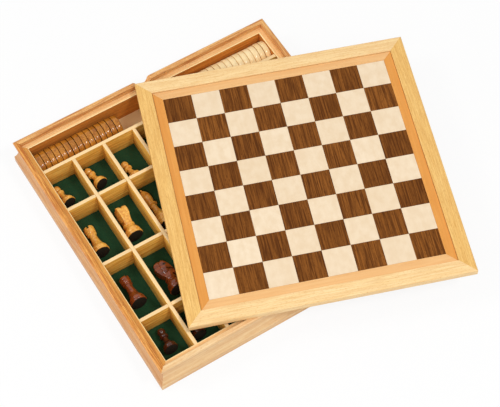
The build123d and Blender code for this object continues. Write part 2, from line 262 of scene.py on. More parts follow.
def noise_along(group, place, length, width, detail=3.0, distortion=0.0):
    """Noise stretched along X: length and width are in millimetres, or sockets that hold them."""
    along, across = (maths(group, "DIVIDE", 1 / MM, size) for size in (length, width))
    scales = place_node(group, "ShaderNodeCombineXYZ", {"X": along, "Y": across, "Z": across})
    scaled = vector_maths(group, "MULTIPLY", place, scales.outputs[0])
    return place_node(group, "ShaderNodeTexNoise", {
        "Vector": scaled, "Scale": 1.0, "Detail": detail, "Distortion": distortion,
    }).outputs["Fac"]


def bumped(tree, height, strength, distance):
    """The normal of a surface that a height raises by up to distance, in mm."""
    return place_node(tree, "ShaderNodeBump", {
        "Height": height, "Strength": strength, "Distance": distance * MM}).outputs["Normal"]


def spread(group, value, low, high, to_low=0.0, to_high=1.0):
    """Stretches the part of a value between low and high over a new range."""
    return place_node(group, "ShaderNodeMapRange", {
        "Value": value, "From Min": low, "From Max": high, "To Min": to_low, "To Max": to_high,
    }).outputs["Result"]


timber, given, result = shader_group(
    "timber", "Color", body=(0.6, 0.4, 0.2, 1), pale=(0.8, 0.6, 0.4, 1), dark=(0.3, 0.2, 0.1, 1),
    band_width=6.0, band_strength=0.5, fibre_width=0.5, fibre_strength=0.5,
    pore_length=3.0, pore_strength=0.3, cloud_strength=0.0, shift=(0, 0, 0))
where = place_node(timber, "ShaderNodeTexCoord").outputs["Object"]
piece_number = place_node(timber, "ShaderNodeObjectInfo").outputs["Random"]
own_part = vector_maths(timber, "MULTIPLY", piece_number, (3.1, 1.7, 2.3))
shifted = vector_maths(timber, "ADD", given["Shift"], own_part)
grain_place = vector_maths(timber, "ADD", where, shifted)

band_length = maths(timber, "MULTIPLY", given["Band Width"], 22.0)
fibre_length = maths(timber, "MULTIPLY", given["Fibre Width"], 60.0)
pore_width = maths(timber, "MULTIPLY", given["Pore Length"], 0.18)
bands = noise_along(timber, grain_place, band_length, given["Band Width"], 2.0, 0.6)
fibres = noise_along(timber, grain_place, fibre_length, given["Fibre Width"], 4.0)
pores = noise_along(timber, grain_place, given["Pore Length"], pore_width, 1.0)
clouds = noise_along(timber, grain_place, 9.0, 7.0, 3.0)

colour = given["Body"]
masks = {}
for label, noise_value, low, high, mixed_in in (
        ("Fibre", fibres, 0.30, 0.70, "Pale"), ("Band", bands, 0.36, 0.64, "Dark"),
        ("Cloud", clouds, 0.35, 0.65, "Dark"), ("Pore", pores, 0.60, 0.68, "Dark")):
    shown = spread(timber, noise_value, low, high)
    masks[label] = maths(timber, "MULTIPLY", shown, given[f"{label} Strength"])
    colour = mix_colours(timber, masks[label], colour, given[mixed_in])
relief = maths(timber, "SUBTRACT", masks["Fibre"], masks["Pore"])
feed(result, {"Color": colour, "Height": relief})
print("timber group:", len(timber.nodes), "nodes")

# %% [markdown]
# ## Varnish
#
# The wood is under a thin clear varnish, which is never quite even: it is glossier where it
# pooled and duller where hands have been. This group gives a roughness that wanders about a
# middle value, and a very faint swell for the bump.

# %% Varnish group
varnish, given, result = shader_group(
    "varnish", "Roughness", roughness=0.35, unevenness=0.10, swell_size=9.0)
where = place_node(varnish, "ShaderNodeTexCoord").outputs["Object"]
smudges = noise_along(varnish, where, 26.0, 15.0, 3.0)
swell = noise_along(varnish, where, given["Swell Size"], given["Swell Size"], 1.0)
uneven = maths(varnish, "MULTIPLY", maths(varnish, "SUBTRACT", smudges, 0.5), given["Unevenness"])
doubled = maths(varnish, "MULTIPLY", uneven, 2.0)
rough = maths(varnish, "ADD", given["Roughness"], doubled)
feed(result, {"Roughness": rough, "Height": swell})
print("varnish group:", len(varnish.nodes), "nodes")

# %% [markdown]
# ## Wood finishes
#
# Each finish is one call: its body, pale and dark colours, the sizes of its figure, and how
# glossy its varnish is. The veneers also read a shift that their mesh stores on each tile, so
# that no two squares of the board were cut from the same spot. A finish may name a second,
# paler colour for whatever faces up, such as the top of a thin divider: partly the cut edge's
# own tone and partly painted light from above. Loose pieces may vary from one to the next, and
# carved lines are darkened.

# %% Wood finish
GRAIN_BUMP = 0.04
# The dark colour that the carved eyes and mouth are mixed towards.
DARKENED_CUT = tint(24, 12, 6)
materials_before = len(bpy.data.materials)


def wood_finish(name, body, pale, dark, band=(6.0, 0.4), fibre=(0.5, 0.5), pore=(3.0, 0.3),
                rough=0.40, shine=0.25, coat=0.08, coat_rough=0.15, cloud=0.0,
                top_tone_and_light=None, tiles=False, carved=False, varied=0.0):
    """A varnished wood. band, fibre and pore are (size in millimetres, strength)."""
    material, tree, shader = new_finish(name)
    dark = tint(*dark)
    wood = place_node(tree, "ShaderNodeGroup", {
        "Body": tint(*body), "Pale": tint(*pale), "Dark": dark,
        "Band Width": band[0], "Band Strength": band[1],
        "Fibre Width": fibre[0], "Fibre Strength": fibre[1],
        "Pore Length": pore[0], "Pore Strength": pore[1], "Cloud Strength": cloud,
    }, node_tree=timber)
    colour = wood.outputs["Color"]
    if tiles:
        stored = place_node(tree, "ShaderNodeAttribute", attribute_name="tile_shift")
        feed(wood, {"Shift": stored.outputs["Vector"]})
        tone = spread(tree, stored.outputs["Alpha"], 0.0, 1.0, 0.0, 0.35)
        colour = mix_colours(tree, tone, colour, dark)
    if varied:
        chance = place_node(tree, "ShaderNodeObjectInfo").outputs["Random"]
        colour = mix_colours(tree, maths(tree, "MULTIPLY", chance, varied), colour, dark)
    # Carved lines are darkened by the stored cut value.
    if carved:
        cut = place_node(tree, "ShaderNodeAttribute", attribute_name="cut").outputs["Fac"]
        colour = mix_colours(tree, cut, colour, DARKENED_CUT)
    # Whatever faces up is mixed paler: partly a cut edge's own tone, partly painted light from above.
    if top_tone_and_light:
        normal = place_node(tree, "ShaderNodeNewGeometry").outputs["Normal"]
        facing = place_node(tree, "ShaderNodeSeparateXYZ", {0: normal}).outputs["Z"]
        colour = mix_colours(tree, spread(tree, facing, 0.5, 0.95), colour, tint(*top_tone_and_light))
    coating = place_node(tree, "ShaderNodeGroup", {"Roughness": rough}, node_tree=varnish)
    height = maths(tree, "ADD", wood.outputs["Height"], coating.outputs["Height"])
    feed(shader, {
        "Base Color": colour, "Roughness": coating.outputs["Roughness"],
        "Normal": bumped(tree, height, GRAIN_BUMP, 0.4), "Specular IOR Level": shine,
        "Coat Weight": coat, "Coat Roughness": coat_rough})
    return material


# %% Finishes of the tray
tray_wood = wood_finish(
    "tray_wood", (230, 156, 66), (248, 192, 110), (170, 84, 24),
    band=(1.4, 0.80), fibre=(0.45, 0.8), pore=(4.5, 0.5))
tray_back_wood = wood_finish(
    "tray_back_wood", (232, 172, 100), (248, 204, 138), (182, 104, 44),
    band=(1.6, 0.80), fibre=(0.45, 0.7), pore=(4.5, 0.5))
tray_front_wood = wood_finish(
    "tray_front_wood", (238, 198, 142), (250, 224, 178), (212, 150, 90),
    band=(3.6, 0.50), fibre=(0.6, 0.7), pore=(3.6, 0.35), cloud=0.15)
# Painted light and reflection: the left side's hollow and foot are a paler, greyer copy of the left side's
# wood.
lit_left_outer_wood = wood_finish(
    "lit_left_outer_wood", (210, 156, 96), (228, 186, 136), (180, 112, 58),
    band=(1.6, 0.60), fibre=(0.45, 0.6), pore=(4.0, 0.3), coat=0.3)
ledge_figure = {"fibre": (0.45, 0.6), "pore": (3.5, 0.3)}
ledge_wood = wood_finish(
    "ledge_wood", (246, 198, 132), (252, 216, 160), (220, 154, 88),
    band=(1.8, 0.50), **ledge_figure)
# Painted shadow: the left ledge is a darker, more orange copy of the ledge, for the shadow that the left
# rim casts on it.
shaded_left_ledge_wood = wood_finish(
    "shaded_left_ledge_wood", (240, 170, 76), (250, 198, 110), (186, 106, 40),
    band=(1.8, 0.60), **ledge_figure)
# Painted highlight: the eased inner edge of the ledge is a pale copy of the ledge's wood.
ledge_edge_highlight = wood_finish(
    "ledge_edge_highlight", (255, 226, 160), (255, 238, 190), (240, 190, 116),
    band=(1.8, 0.30), fibre=(0.45, 0.6), pore=(3.5, 0.2))
# Painted shade: the inner wall below the ledge is a darker, duller copy of the tray's wood.
shaded_inner_wood = wood_finish(
    "shaded_inner_wood", (216, 138, 54), (234, 160, 78), (166, 88, 28),
    band=(2.2, 0.60), fibre=(0.45, 0.6), pore=(3.5, 0.4), rough=0.6, shine=0.1, coat=0.0)
panel_wood = wood_finish(
    "panel_wood", (246, 210, 152), (252, 226, 178), (230, 180, 116),
    band=(7.0, 0.35), fibre=(0.6, 0.6), pore=(3.0, 0.2))
# The divider tops are paler, partly painted light from above.
divider_wood = wood_finish(
    "divider_wood", (252, 194, 84), (255, 222, 124), (206, 136, 40),
    band=(1.8, 0.75), fibre=(0.45, 0.7), pore=(4.0, 0.4), rough=0.45, shine=0.15, coat=0.0,
    top_tone_and_light=(247, 214, 160))

# %% Finishes of the lid
frame_wood = wood_finish(
    "frame_wood", (248, 210, 146), (254, 226, 174), (214, 150, 74),
    band=(1.3, 0.35), fibre=(0.5, 0.9), pore=(2.8, 0.45))
# Painted shade: the frame's left and right members are a darker, more orange copy of the front and back,
# for grain that runs across and takes less of the light.
frame_shaded_side_wood = wood_finish(
    "frame_shaded_side_wood", (236, 184, 102), (250, 212, 136), (204, 142, 62),
    band=(0.9, 0.45), fibre=(0.45, 0.9), pore=(3.0, 0.50))
band_figure = {"band": (3.0, 0.30), "fibre": (0.4, 0.5), "pore": (2.0, 0.15)}
band_veneer = wood_finish(
    "band_veneer", (238, 184, 120), (246, 204, 148), (220, 154, 88), **band_figure)
# Painted shade: the band's left and right pieces are likewise a darker copy of the band.
band_shaded_side_veneer = wood_finish(
    "band_shaded_side_veneer", (226, 153, 69), (240, 174, 94), (210, 130, 54), **band_figure)
walnut_veneer = wood_finish(
    "walnut_veneer", (132, 77, 29), (168, 106, 47), (78, 40, 13),
    band=(1.3, 0.85), fibre=(0.4, 0.8), pore=(3.5, 0.6), shine=0.06, coat=0.0, tiles=True)
maple_veneer = wood_finish(
    "maple_veneer", (246, 225, 195), (250, 234, 208), (228, 200, 162),
    band=(5.0, 0.10), fibre=(1.6, 0.3), pore=(1.2, 0.15), shine=0.2, coat=0.0, cloud=0.45,
    tiles=True)
core_board = wood_finish(
    "core_board", (176, 140, 100), (190, 156, 116), (140, 104, 70),
    band=(1.2, 0.3), fibre=(0.5, 0.6), pore=(1.0, 0.6), rough=0.7, coat=0.0)
backing_veneer = wood_finish(
    "backing_veneer", (214, 172, 118), (228, 190, 140), (184, 134, 82),
    band=(6.0, 0.5), fibre=(0.6, 0.6), pore=(3.0, 0.4), rough=0.5, coat=0.0)

# %% Finishes of the draughtsmen and the chessmen
brown_stone_wood = wood_finish(
    "brown_stone_wood", (200, 128, 40), (222, 156, 60), (138, 74, 18),
    band=(2.0, 0.7), fibre=(0.4, 0.6), pore=(1.6, 0.4), rough=0.30, shine=0.0,
    coat=0.7, coat_rough=0.11, varied=0.35)
white_stone_wood = wood_finish(
    "white_stone_wood", (252, 226, 174), (254, 238, 200), (238, 202, 140),
    band=(3.5, 0.4), fibre=(0.4, 0.5), pore=(1.6, 0.15), rough=0.30, shine=0.0,
    coat=0.5, coat_rough=0.12, varied=0.5)
# Painted shade: the corners of each stone's rim, dark as the gaps between neighbouring stones, by a random
# amount per stone.
brown_stone_gap_shade = wood_finish(
    "brown_stone_gap_shade", (130, 76, 26), (150, 92, 34), (30, 12, 4),
    band=(2.0, 0.4), rough=0.5, shine=0.0, coat=0.0, varied=1.0)
white_stone_gap_shade = wood_finish(
    "white_stone_gap_shade", (232, 194, 132), (240, 206, 150), (170, 110, 60),
    band=(2.0, 0.2), rough=0.5, shine=0.0, coat=0.0, varied=0.8)
man_polish = {"fibre": (0.3, 0.5), "rough": 0.28, "shine": 0.05, "coat": 0.9}
light_man_wood = wood_finish(
    "light_man_wood", (250, 186, 70), (255, 220, 130), (208, 116, 24),
    band=(2.2, 0.6), pore=(1.2, 0.3), coat_rough=0.12, carved=True, **man_polish)
dark_man_wood = wood_finish(
    "dark_man_wood", (140, 64, 22), (172, 88, 34), (74, 26, 8),
    band=(2.2, 0.6), pore=(1.2, 0.4), coat_rough=0.10, carved=True, **man_polish)
dark_pawn_wood = wood_finish(
    "dark_pawn_wood", (74, 32, 16), (98, 44, 24), (38, 14, 8),
    band=(2.2, 0.5), pore=(1.2, 0.4), coat_rough=0.10, **man_polish)
print("wood finishes:", len(bpy.data.materials) - materials_before)

# %% [markdown]
# ## Felt
#
# Felt is short fibres pressed in every direction. Three stretched noises, each turned to its
# own heading, cross like matted fibres, and a wide faint noise makes the cloth's uneven dye.
# A little sheen gives the pale bloom that a nap has at a low angle.

# %% Felt group and finishes
felt_nap, given, result = shader_group(
    "felt_nap", "Color", dye=(0.02, 0.16, 0.09, 1), fibre_tip=(0.05, 0.25, 0.15, 1))
where = place_node(felt_nap, "ShaderNodeTexCoord").outputs["Object"]
mat_of_fibres = 0.0
for heading in (10, 70, 130):
    turned_place = place_node(felt_nap, "ShaderNodeVectorRotate", {
        "Vector": where, "Angle": radians(heading)}, rotation_type="Z_AXIS").outputs[0]
    strands = noise_along(felt_nap, turned_place, 2.2, 0.22, 2.0, 0.8)
    mat_of_fibres = maths(felt_nap, "MAXIMUM", mat_of_fibres, strands)
dye_drift = noise_along(felt_nap, where, 14.0, 14.0, 3.0)
tips = spread(felt_nap, mat_of_fibres, 0.50, 0.74)
drift = spread(felt_nap, dye_drift, 0.3, 0.7, 0.0, 0.35)
colour = mix_colours(felt_nap, tips, given["Dye"], given["Fibre Tip"])
colour = mix_colours(felt_nap, drift, colour, given["Dye"])
feed(result, {"Color": colour, "Height": mat_of_fibres})


def felt_finish(name, dye, tip, sheen):
    """A felt of one dye, whose fibres have paler tips."""
    material, tree, shader = new_finish(name)
    nap = place_node(
        tree, "ShaderNodeGroup", {"Dye": tint(*dye), "Fibre Tip": tint(*tip)}, node_tree=felt_nap)
    feed(shader, {
        "Base Color": nap.outputs["Color"], "Normal": bumped(tree, nap.outputs["Height"], 0.5, 0.3),
        "Roughness": 0.95, "Specular IOR Level": 0.15, "Sheen Weight": sheen,
        "Sheen Roughness": 0.6})
    return material


green_felt = felt_finish("green_felt", (15, 56, 30), (32, 82, 46), sheen=0.15)
pad_felt = felt_finish("pad_felt", (32, 28, 21), (48, 42, 32), sheen=0.0)
print("felts: green_felt, pad_felt")

# %% [markdown]
# ## Helpers for shapes
#
# Nearly every piece is either a moulding, whose outline runs along a straight line, or a
# turning, whose outline goes round an axis. So the pieces start as outlines. Real edges are
# never knife sharp, and a small round that catches the light is what makes wood look like
# wood, so an outline's corner may name its own radius.

# %% Outlines
def eased(corners, closed=True):
    """An outline with rounded corners. A corner is (x, y), or (x, y, radius)."""
    path = []
    for number, (x, y, *radius) in enumerate(corners):
        here = Vector((x, y))
        if not radius or not closed and number in (0, len(corners) - 1):
            path.append(here)
            continue
        before = (Vector(corners[number - 1][:2]) - here).normalized()
        after = (Vector(corners[(number + 1) % len(corners)][:2]) - here).normalized()
        half_angle = before.angle(after) / 2
        centre = here + (before + after).normalized() * radius[0] / sin(half_angle)
        reach = radius[0] * cos(half_angle) / sin(half_angle)
        first, last = here + before * reach - centre, here + after * reach - centre
        steps = max(2, round(degrees(first.angle(last)) / 15))
        for step in range(steps + 1):
            part = step / steps
            path.append(centre + (first * (1 - part) + last * part).normalized() * radius[0])
    return [tuple(point) for point in path]


def hollow(first, last, depth, steps=14):
    """A shallow arc between two points, which bows to the left of the way it goes."""
    first, last = Vector(first), Vector(last)
    chord = last - first
    side = Vector((-chord.y, chord.x)).normalized()
    return [
        tuple(first + chord * part + side * depth * 4 * part * (1 - part))
        for part in (step / steps for step in range(1, steps))
    ]


def flowing(points, steps=6):
    """A smooth curve that passes through all the points."""
    ends = [points[0], *points, points[-1]]
    path = []
    for before, here, there, after in zip(ends, ends[1:], ends[2:], ends[3:]):
        p, a, b, q = (Vector(point) for point in (before, here, there, after))
        for part in (step / steps for step in range(steps)):
            path.append(tuple(0.5 * (
                2 * a + (b - p) * part + (2 * p - 5 * a + 4 * b - q) * part ** 2
                + (3 * a - p - 3 * b + q) * part ** 3)))
    return path + [tuple(points[-1])]


# %% Mesh from outlines
def solid_between(near, far):
    """A solid whose ends are one outline in two places, each a list of points in mm."""
    made = bmesh.new()
    near, far = ([made.verts.new(Vector(point) * MM) for point in end] for end in (near, far))
    made.faces.new(near)
    made.faces.new(far)
    for number in range(len(near)):
        made.faces.new((near[number - 1], near[number], far[number], far[number - 1]))
    return made


def moulding(outline, half):
    """A member along X with mitred ends. The outline's points are (outwards, up) in mm."""
    return solid_between(*(
        [(side * (half + out - MITRE_GAP), -(half + out), up) for out, up in outline]
        for side in (-1, 1)))


def plate(outline, thickness):
    """A flat shape in the X-Z plane, in mm, with its thickness along Y and crisp edges."""
    return solid_between(*(
        [(x, side * thickness / 2, z) for x, z in outline] for side in (-1, 1)))


def turning(outline, segments=56):
    """A solid of revolution about Z. The outline's points are (radius, up) in mm."""
    made = bmesh.new()
    rings = []
    for radius, up in outline:
        if radius < 1e-6:
            rings.append([made.verts.new((0, 0, up * MM))] * segments)
            continue
        rings.append([
            made.verts.new(Vector((radius * cos(angle), radius * sin(angle), up)) * MM)
            for angle in (2 * pi * number / segments for number in range(segments))])
    for low, high in zip(rings, rings[1:]):
        for number in range(segments):
            corners = (low[number - 1], low[number], high[number], high[number - 1])
            made.faces.new(dict.fromkeys(corners))
    return made


def soften(made, radius, segments=2):
    """Rounds every edge of a flat-sided shape."""
    bmesh.ops.recalc_face_normals(made, faces=made.faces)
    bmesh.ops.bevel(
        made, geom=list(made.edges), offset=radius * MM, segments=segments, profile=0.5,
        affect="EDGES", clamp_overlap=True)
    return made


# %% Pieces from meshes
CREASE = 35


def creased(mesh, crease=CREASE):
    """Shades a mesh smooth, but keeps the edges that turn by more than crease degrees."""
    mesh.shade_smooth()
    mesh.set_sharp_from_angle(angle=radians(crease))
    return mesh


def mesh_of(name, made, crease=CREASE):
    """The mesh that a bmesh describes. The bmesh is freed."""
    bmesh.ops.recalc_face_normals(made, faces=made.faces)
    mesh = bpy.data.meshes.new(name)
    made.to_mesh(mesh)
    made.free()
    return creased(mesh, crease)


def refinish(mesh, *finishes):
    """Takes a mesh's finishes off and puts these on instead."""
    mesh.materials.clear()
    for finish in finishes:
        mesh.materials.append(finish)


def finish_piece(name, shape, material, body, nodes=(), place=Matrix()):
    """Turns a bmesh, or a mesh, into a piece in its place that stands for CAD nodes."""
    mesh = shape if isinstance(shape, bpy.types.Mesh) else mesh_of(name, shape)
    if not mesh.materials:
        mesh.materials.append(material)
    piece = bpy.data.objects.new(name, mesh)
    piece.matrix_world = place
    show(piece)
    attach(piece, body)
    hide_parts(*nodes)
    return piece


def final_mesh(piece):
    """The mesh that a piece has once its modifiers are worked out."""
    bpy.context.view_layer.update()
    return bpy.data.meshes.new_from_object(piece.evaluated_get(bpy.context.evaluated_depsgraph_get()))


def carve(piece, tool):
    """Cuts one bmesh out of a piece, in the piece's own coordinates."""
    blade = bpy.data.objects.new("carving_tool", mesh_of("carving_tool", tool))
    blade.matrix_world = piece.matrix_world
    show(blade)
    cut = piece.modifiers.new("carve", "BOOLEAN")
    cut.operation = "DIFFERENCE"
    cut.solver = "EXACT"
    cut.object = blade
    carved = final_mesh(piece)
    piece.modifiers.clear()
    bpy.data.objects.remove(blade)
    piece.data = creased(carved)


def about_z(angle):
    """A turn about Z, in degrees."""
    return Matrix.Rotation(radians(angle), 4, "Z")


# %% [markdown]
# ## The tray's sides
#
# Each side is one moulding: a rounded rim, a ledge inside it that carries the closed lid, a
# shadow line and a hollow on the outside, and a flat foot. The four are mitred, and a hair of
# a gap at each mitre gives the fine line that a real joint shows. The front and the back have
# a sloping notch where fingers lift the lid. It is cut with a boolean, since a cut through a
# moulding is what a joiner would make too. The boards came from different planks, and the
# ledge has its own paler finish. Light and shade are painted into the other faces: the inner
# wall is a darker copy for painted shade, the left ledge a darker copy for the painted shadow
# of the left rim, the eased edge of the ledge a pale painted highlight, and the left side's
# hollow and foot a paler copy for painted light and a painted white reflection on that side.
# Each face of a side is given the finish of the part that it belongs to.

# %% Tray sides
MITRE_GAP = 0.03
RIM_WIDTH, SEAT_DEPTH, RIM_EASE, LEDGE_EASE = 5.6, 6.0, 1.0, 0.9
LIP_RADIUS, LIP_HEIGHT, QUIRK_STEP = 1.4, 3.0, 0.9
FOOT_FLARE, FOOT_HEIGHT, FOOT_RADIUS, COVE_DEPTH = 1.2, 9.5, 1.2, 3.0
NOTCH_WIDTH, NOTCH_SLOPE = 21.0, 7.0
PANEL_LAP = 5.0
HEADINGS = {"front": 0, "right": 90, "back": 180, "left": 270}

panel_top = top_of("tray_bottom") / MM
tray_height = top_of("tray_front_side") / MM
tray_half = -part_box("tray_front_side")[0].y / MM - FOOT_FLARE
inner_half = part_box("bay_divider")[1].x / MM
ledge_height = tray_height - SEAT_DEPTH
inner_wall = inner_half - tray_half
lip_bottom = tray_height - LIP_HEIGHT

side_outline = eased([
    (FOOT_FLARE, 0, FOOT_RADIUS), (inner_wall + PANEL_LAP, 0), (inner_wall + PANEL_LAP, panel_top),
    (inner_wall, panel_top), (inner_wall, ledge_height, LEDGE_EASE), (-RIM_WIDTH, ledge_height),
    (-RIM_WIDTH, tray_height, RIM_EASE), (0, tray_height, LIP_RADIUS), (0, lip_bottom, 0.3),
    (-QUIRK_STEP, lip_bottom)])
side_outline += hollow((-QUIRK_STEP, lip_bottom), (FOOT_FLARE, FOOT_HEIGHT), -COVE_DEPTH)
side_outline += eased([(FOOT_FLARE - 0.2, FOOT_HEIGHT + 0.4), (FOOT_FLARE, FOOT_HEIGHT, 0.3),
                       (FOOT_FLARE, FOOT_HEIGHT / 2)], closed=False)

above_rim = 2.0
notch_floor = NOTCH_WIDTH / 2 - NOTCH_SLOPE
notch_top = NOTCH_WIDTH / 2 + NOTCH_SLOPE * above_rim / SEAT_DEPTH
notch_outline = [
    (-notch_top, tray_height + above_rim), (-notch_floor, ledge_height),
    (notch_floor, ledge_height), (notch_top, tray_height + above_rim)]
for heading, angle in HEADINGS.items():
    wood = {"front": tray_front_wood, "left": tray_wood}.get(heading, tray_back_wood)
    side = finish_piece(
        f"mitred_moulding_{heading}", moulding(side_outline, tray_half), wood, "tray",
        [f"tray_{heading}_side"], about_z(angle))
    if heading in ("front", "back"):
        notch = plate(notch_outline, 2 * RIM_WIDTH)
        bmesh.ops.translate(notch, verts=notch.verts, vec=(0, -tray_half * MM, 0))
        carve(side, notch)
    is_left = heading == "left"
    refinish(side.data, wood, shaded_left_ledge_wood if is_left else ledge_wood, shaded_inner_wood,
             lit_left_outer_wood if is_left else wood, ledge_edge_highlight)
    # The ledge's eased edge takes the painted highlight, the inner wall the painted shade, and the left
    # side's hollow and foot the painted light.
    for face in side.data.polygons:
        height = face.center.z / MM
        inward = face.normal.y
        if abs(height - ledge_height) < LEDGE_EASE and face.normal.z > 0.5:
            face.material_index = 4 if inward > 0.02 else 1
        elif height < ledge_height and inward > 0.9:
            face.material_index = 2
        elif height < lip_bottom and inward < 0:
            face.material_index = 3
        else:
            face.material_index = 0
print("tray", round(2 * tray_half, 1), "mm wide, ledge at", round(ledge_height, 1))

# %% [markdown]
# ## The floor and its felt
#
# The floor is a thin panel that is let in under the sides. It is already the right shape, so
# it only gets its finish. The cells stand on one sheet of felt, laid before the dividers. It
# is a fine grid that is pressed down along the dividers and a little proud between them.

# %% Floor panel
refinish(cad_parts["tray_bottom"].data, panel_wood)
print("panel", round(panel_top, 1), "mm up to its top")

# %% Felt
felt_low, felt_high = (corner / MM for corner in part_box("cell_felt"))
felt_width, felt_length = felt_high.x - felt_low.x, felt_high.y - felt_low.y
row_lines = [middle_of(f"row_divider_{n}").y / MM for n in (1, 2, 3)]
column_lines = [middle_of(f"column_divider_{n}").x / MM for n in range(1, 8)]
divider_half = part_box("row_divider_1")[1].y / MM - row_lines[0]
FELT_STEP = 2.0
FELT_WAVE, WAVE_HEIGHT = 13, 0.10
FELT_PROUD, PRESSED_BY, PRESSED_REACH = 0.04, 0.14, 2.5


def felt_rise(x, y):
    """How far the nap stands above or below its middle height, in mm."""
    nearest = min(abs(y - line) for line in row_lines)
    nearest = min(nearest, *(abs(x - line) for line in column_lines))
    pressed = max(0.0, 1 - max(0.0, nearest - divider_half) / PRESSED_REACH)
    wander = noise.noise(Vector((x / FELT_WAVE, y / FELT_WAVE, 0))) * WAVE_HEIGHT
    return wander * (1 - pressed) + FELT_PROUD - PRESSED_BY * pressed


def felt_sheet():
    made = bmesh.new()
    across, along = round(felt_width / FELT_STEP), round(felt_length / FELT_STEP)
    width = across + 1
    layers = []
    for is_top in (False, True):
        layer = []
        for row in range(along + 1):
            for column in range(width):
                x = felt_low.x + felt_width * column / across
                y = felt_low.y + felt_length * row / along
                z = felt_high.z + felt_rise(x, y) if is_top else felt_low.z
                layer.append(made.verts.new(Vector((x, y, z)) * MM))
        for row in range(along):
            for column in range(across):
                first = row * width + column
                made.faces.new([layer[first + step] for step in (0, 1, width + 1, width)])
        layers.append(layer)
    low, high = layers
    rim = list(range(width)) + [width * row + across for row in range(1, along + 1)]
    rim += [width * along + column for column in range(across - 1, -1, -1)]
    rim += [width * row for row in range(along - 1, 0, -1)]
    for here, there in zip(rim, rim[1:] + rim[:1]):
        made.faces.new((low[here], low[there], high[there], high[here]))
    return made


felt = finish_piece("green_felt_sheet", felt_sheet(), green_felt, "tray", ["cell_felt"])
print("felt", round(felt_width, 1), "x", round(felt_length, 1), "mm")

# %% [markdown]
# ## Dividers
#
# The dividers are thin boards that cross with half laps: the boards that run left to right
# are slotted from the top, and those that run front to back from the bottom. Their outline
# carries the slots, so the crossing shows real joints, and the top edges are eased by hand.

# %% Divider boards
LAP_PLAY = 0.1
EDGE_EASE = 0.3


def comb(length, height, thickness, slots, from_top):
    """A board that stands on its edge, with slots to half its height at places along it."""
    half = height / 2
    reach = thickness / 2 + LAP_PLAY
    slotted = [(-length / 2, height)]
    for middle in sorted(slots):
        slotted += [(middle - reach, height), (middle - reach, half),
                    (middle + reach, half), (middle + reach, height)]
    slotted += [(length / 2, height), (length / 2, 0), (-length / 2, 0)]
    if not from_top:
        slotted = [(x, height - z) for x, z in slotted]
    return soften(plate(slotted, thickness), EDGE_EASE)


def divider(name, node, slots, from_top, turn=0):
    low, high = (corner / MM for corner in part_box(node))
    size = high - low
    length, thickness = (size.y, size.x) if turn else (size.x, size.y)
    centre = (low + high) / 2
    place = Matrix.Translation(Vector((centre.x, centre.y, low.z)) * MM) @ about_z(turn)
    middle = centre.y if turn else centre.x
    board = comb(length, size.z, thickness, [slot - middle for slot in slots], from_top)
    return finish_piece(name, board, divider_wood, "tray", [node], place)


divider("bay_board", "bay_divider", [], True)
for number in range(1, 4):
    divider(f"row_board_{number}", f"row_divider_{number}", column_lines, True)
for number in range(1, 8):
    divider(f"column_board_{number}", f"column_divider_{number}", row_lines, False, turn=90)
print("dividers: 11 boards,", len(row_lines) * len(column_lines), "crossings")

# %% [markdown]
# ## The lid
#
# The lid is a mitred frame round a core board. On the core lie thin veneers: a plain band and
# sixty-four squares, slightly sunk below the frame's top. The lid lies turned across the tray,
# so its pieces are made square about the lid's own middle and then moved there together.

# %% Lid's place and sizes
LID_SHIFT, LID_TURN = (76.5, -39.1), -19.46
FRAME_WIDTH, FRAME_ROUND, BAND_WIDTH, CORE_LAP = 15.3, 1.0, 9.85, 5.0
BACKING, VENEER, SINK = 0.6, 0.7, 1.5
TRAY_INNER_RIM = tray_half - RIM_WIDTH
LID_PLAY = 1.6
lid_half = TRAY_INNER_RIM - LID_PLAY
lid_thickness = (top_of("lid_frame_front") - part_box("lid_frame_front")[0].z) / MM
veneer_top = lid_thickness - SINK
core_top = veneer_top - VENEER
lid_place = Matrix.Translation(Vector((*LID_SHIFT, tray_height)) * MM) @ about_z(LID_TURN)
print("lid", round(2 * lid_half, 1), "mm square and", round(lid_thickness, 1), "thick")

# %% Frame and band
SHADOW_GAP, BAND_JOINT = 0.35, 0.06
frame_outline = eased([
    (0, 0, 0.5), (CORE_LAP - FRAME_WIDTH, 0), (CORE_LAP - FRAME_WIDTH, core_top),
    (-FRAME_WIDTH, core_top), (-FRAME_WIDTH, lid_thickness, 0.4), (0, lid_thickness, FRAME_ROUND)])
band_out, band_in = -FRAME_WIDTH - SHADOW_GAP, -FRAME_WIDTH - BAND_WIDTH + BAND_JOINT
band_outline = eased([
    (band_out, core_top), (band_in, core_top), (band_in, veneer_top, 0.08),
    (band_out, veneer_top, 0.12)])
# The left and right pieces take the painted-shade copies of the finishes.
for heading, angle in HEADINGS.items():
    is_side = heading in ("left", "right")
    place = lid_place @ about_z(angle)
    finish_piece(
        f"lid_member_{heading}", moulding(frame_outline, lid_half),
        frame_shaded_side_wood if is_side else frame_wood, "lid",
        [f"lid_frame_{heading}"], place)
    finish_piece(
        f"lid_band_{heading}", moulding(band_outline, lid_half),
        band_shaded_side_veneer if is_side else band_veneer, "lid",
        [f"inlay_band_{heading}"], place)
print("frame members and bands:", 2 * len(HEADINGS))

# %% Core and backing
refinish(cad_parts["board_core"].data, core_board)
core_half = lid_half - FRAME_WIDTH + CORE_LAP
backing_outline = [(-core_half, 0), (core_half, 0), (core_half, BACKING), (-core_half, BACKING)]
finish_piece(
    "backing_sheet", soften(plate(backing_outline, 2 * core_half), 0.06), backing_veneer,
    "lid", ["board_backing"], lid_place)
print("core board", round(2 * core_half, 1), "mm square")

# %% [markdown]
# The squares are cut so that the grain of all of them runs up and down the board. Each tile
# gets its own place in the timber and its own tone, stored as an attribute that the veneer's
# material reads, since neighbouring veneers never match. The tops are eased only a hair, which
# leaves a crisp joint.

